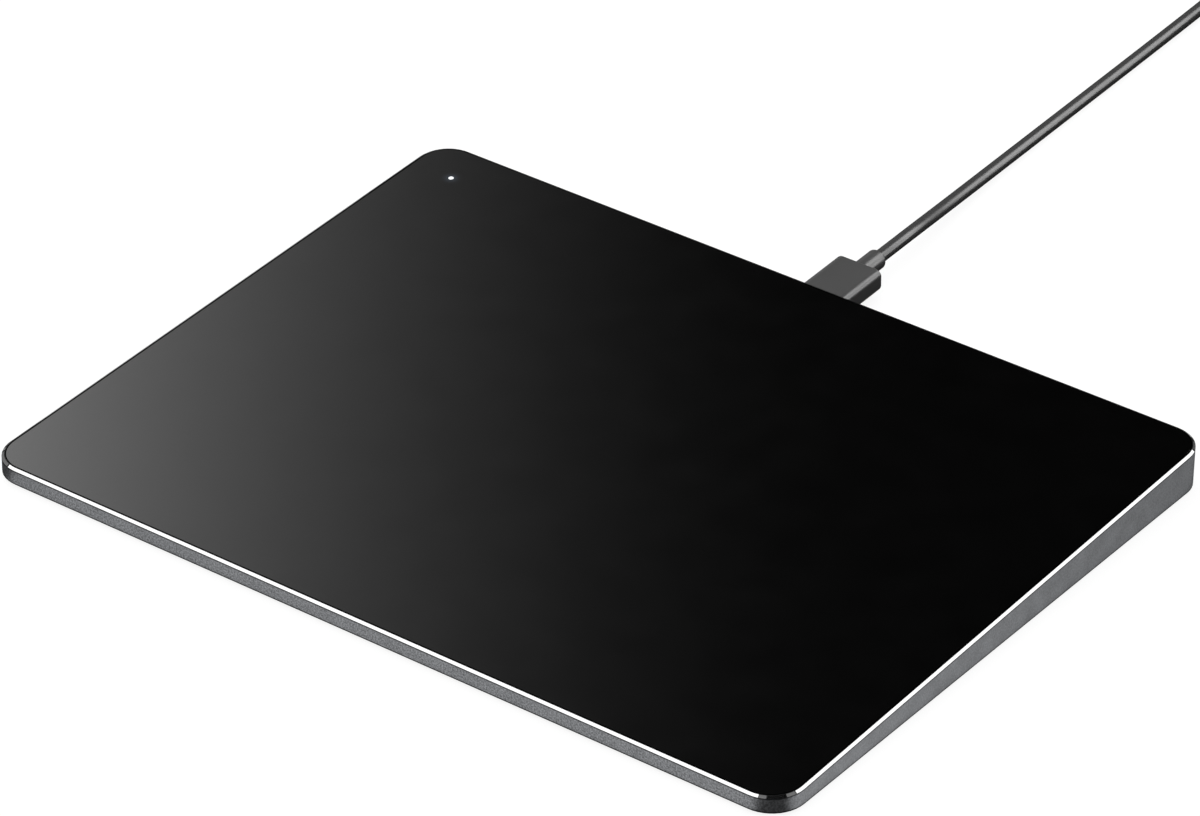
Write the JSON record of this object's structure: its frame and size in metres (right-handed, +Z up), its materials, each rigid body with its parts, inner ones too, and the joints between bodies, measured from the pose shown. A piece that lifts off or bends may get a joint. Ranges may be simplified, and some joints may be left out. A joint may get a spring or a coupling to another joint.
{
  "type": "wedge trackpad",
  "caption": "Wedge-shaped desk trackpad: black glass plate that clicks in a polished-edge metal ring, with its lead plugged in at the rear.",
  "frame": {"origin": "on the desk, under the middle of the pad without its lead", "axes": "+X to the right, +Y to the tall rear edge where the lead plugs in, +Z up"},
  "size_m": [0.19, 0.3574, 0.0097],
  "materials": {
    "frame_metal": "bead-blasted, grey anodised, with a polished chamfer",
    "cover_metal": "bead-blasted, grey anodised",
    "screw_steel": "blackened steel",
    "black_glass": "black from behind, with a fine satin face",
    "light_window": "clear, lit from below",
    "light_guide": "clear moulding",
    "adhesive": "thin adhesive sheet",
    "board": "solder-masked circuit board",
    "chip": "moulded package",
    "sheet_steel": "pressed sheet",
    "plug_steel": "plated shell",
    "black_moulding": "moulded insulator",
    "white_moulding": "moulded insulator",
    "control_plastic": "fine matt texture",
    "flex_film": "amber film",
    "battery_pouch": "foil pouch",
    "red_wire": "insulated wire",
    "black_wire": "insulated wire",
    "soft_rubber": "soft pad",
    "foot_rubber": "matt rubber",
    "cord_moulding": "moulded over the cord, satin",
    "cord_jacket": "smooth satin jacket",
    "tie_band": "woven hook-and-loop band"
  },
  "bodies": {
    "housing": {"housing_frame": "frame_metal", "bottom_cover": "cover_metal", "cover_screws": "screw_steel", "bracket_screws": "screw_steel", "board_screws": "screw_steel", "battery_tape": "adhesive", "main_board": "board", "battery_tab_board": "board", "main_controller": "chip", "charge_controller": "chip", "wireless_chip": "chip", "hinge_bracket_left": "sheet_steel", "hinge_bracket_right": "sheet_steel", "hinge_pin_left": "sheet_steel", "hinge_pin_right": "sheet_steel", "shield_can": "sheet_steel", "strike_pad": "sheet_steel", "port_shell": "plug_steel", "port_tongue": "black_moulding", "main_flex_connector": "black_moulding", "battery_socket": "white_moulding", "power_switch_body": "sheet_steel", "pairing_switch_body": "black_moulding", "flex_cable": "flex_film", "battery_cell": "battery_pouch", "battery_wire_positive": "red_wire", "battery_wire_negative": "black_wire", "stop_bumper_left": "soft_rubber", "stop_bumper_right": "soft_rubber", "board_support_pad": "soft_rubber", "foot_front_left": "foot_rubber", "foot_front_right": "foot_rubber", "foot_rear_left": "foot_rubber", "foot_rear_right": "foot_rubber"},
    "click_plate": {"touch_glass": "black_glass", "indicator_window": "light_window", "bonding_sheet": "adhesive", "sensor_board": "board", "light_guide": "light_guide", "indicator_led": "light_guide", "touch_controller": "chip", "stiffener_plate": "sheet_steel", "click_switch_body": "black_moulding", "sensor_flex_connector": "black_moulding"},
    "click_plunger": {"click_switch_plunger": "white_moulding"},
    "power_slider": {"power_switch_slider": "control_plastic"},
    "pairing_key": {"pairing_button": "control_plastic"},
    "pairing_plunger": {"pairing_switch_plunger": "black_moulding"},
    "lead": {"plug_c_shell": "plug_steel", "plug_c_insert": "black_moulding", "plug_c_body": "cord_moulding", "plug_c_relief": "cord_moulding", "cable_run": "cord_jacket", "cable_coil": "cord_jacket", "cable_tail": "cord_jacket", "cable_tie": "tie_band", "plug_a_relief": "cord_moulding", "plug_a_body": "cord_moulding", "plug_a_shell": "plug_steel", "plug_a_insert": "white_moulding"}
  },
  "joints": [
    {"name": "click_hinge", "type": "hinge", "parent": "housing", "child": "click_plate", "pos_m": [0, 0.06409, 0.00585], "axis": [1, 0, 0], "range_deg": [0, 0.1408], "stiffness_Nm_per_rad": 30, "springref_deg": -0.32},
    {"name": "click_plunger_slide", "type": "slide", "parent": "click_plate", "child": "click_plunger", "axis": [0, -0.0373, 0.9993], "range_m": [0, 0.00031]},
    {"name": "power_slide", "type": "slide", "parent": "housing", "child": "power_slider", "axis": [1, 0, 0], "range_m": [0, 0.0024]},
    {"name": "pairing_press", "type": "slide", "parent": "housing", "child": "pairing_key", "axis": [0, 0, 1], "range_m": [0, 0.00015], "stiffness_N_per_m": 2000, "springref_m": -0.0002},
    {"name": "pairing_plunger_slide", "type": "slide", "parent": "housing", "child": "pairing_plunger", "axis": [0, -0.0373, 0.9993], "range_m": [0, 0.00016]},
    {"name": "plug_pull", "type": "slide", "parent": "housing", "child": "lead", "axis": [0, 0.9993, 0.0373], "range_m": [0, 0.008]}
  ],
  "couplings": [
    {"joint": "click_plunger_slide", "follows": "click_hinge", "m_per_rad": 0.12205},
    {"joint": "pairing_plunger_slide", "follows": "pairing_press", "ratio": 1}
  ]
}
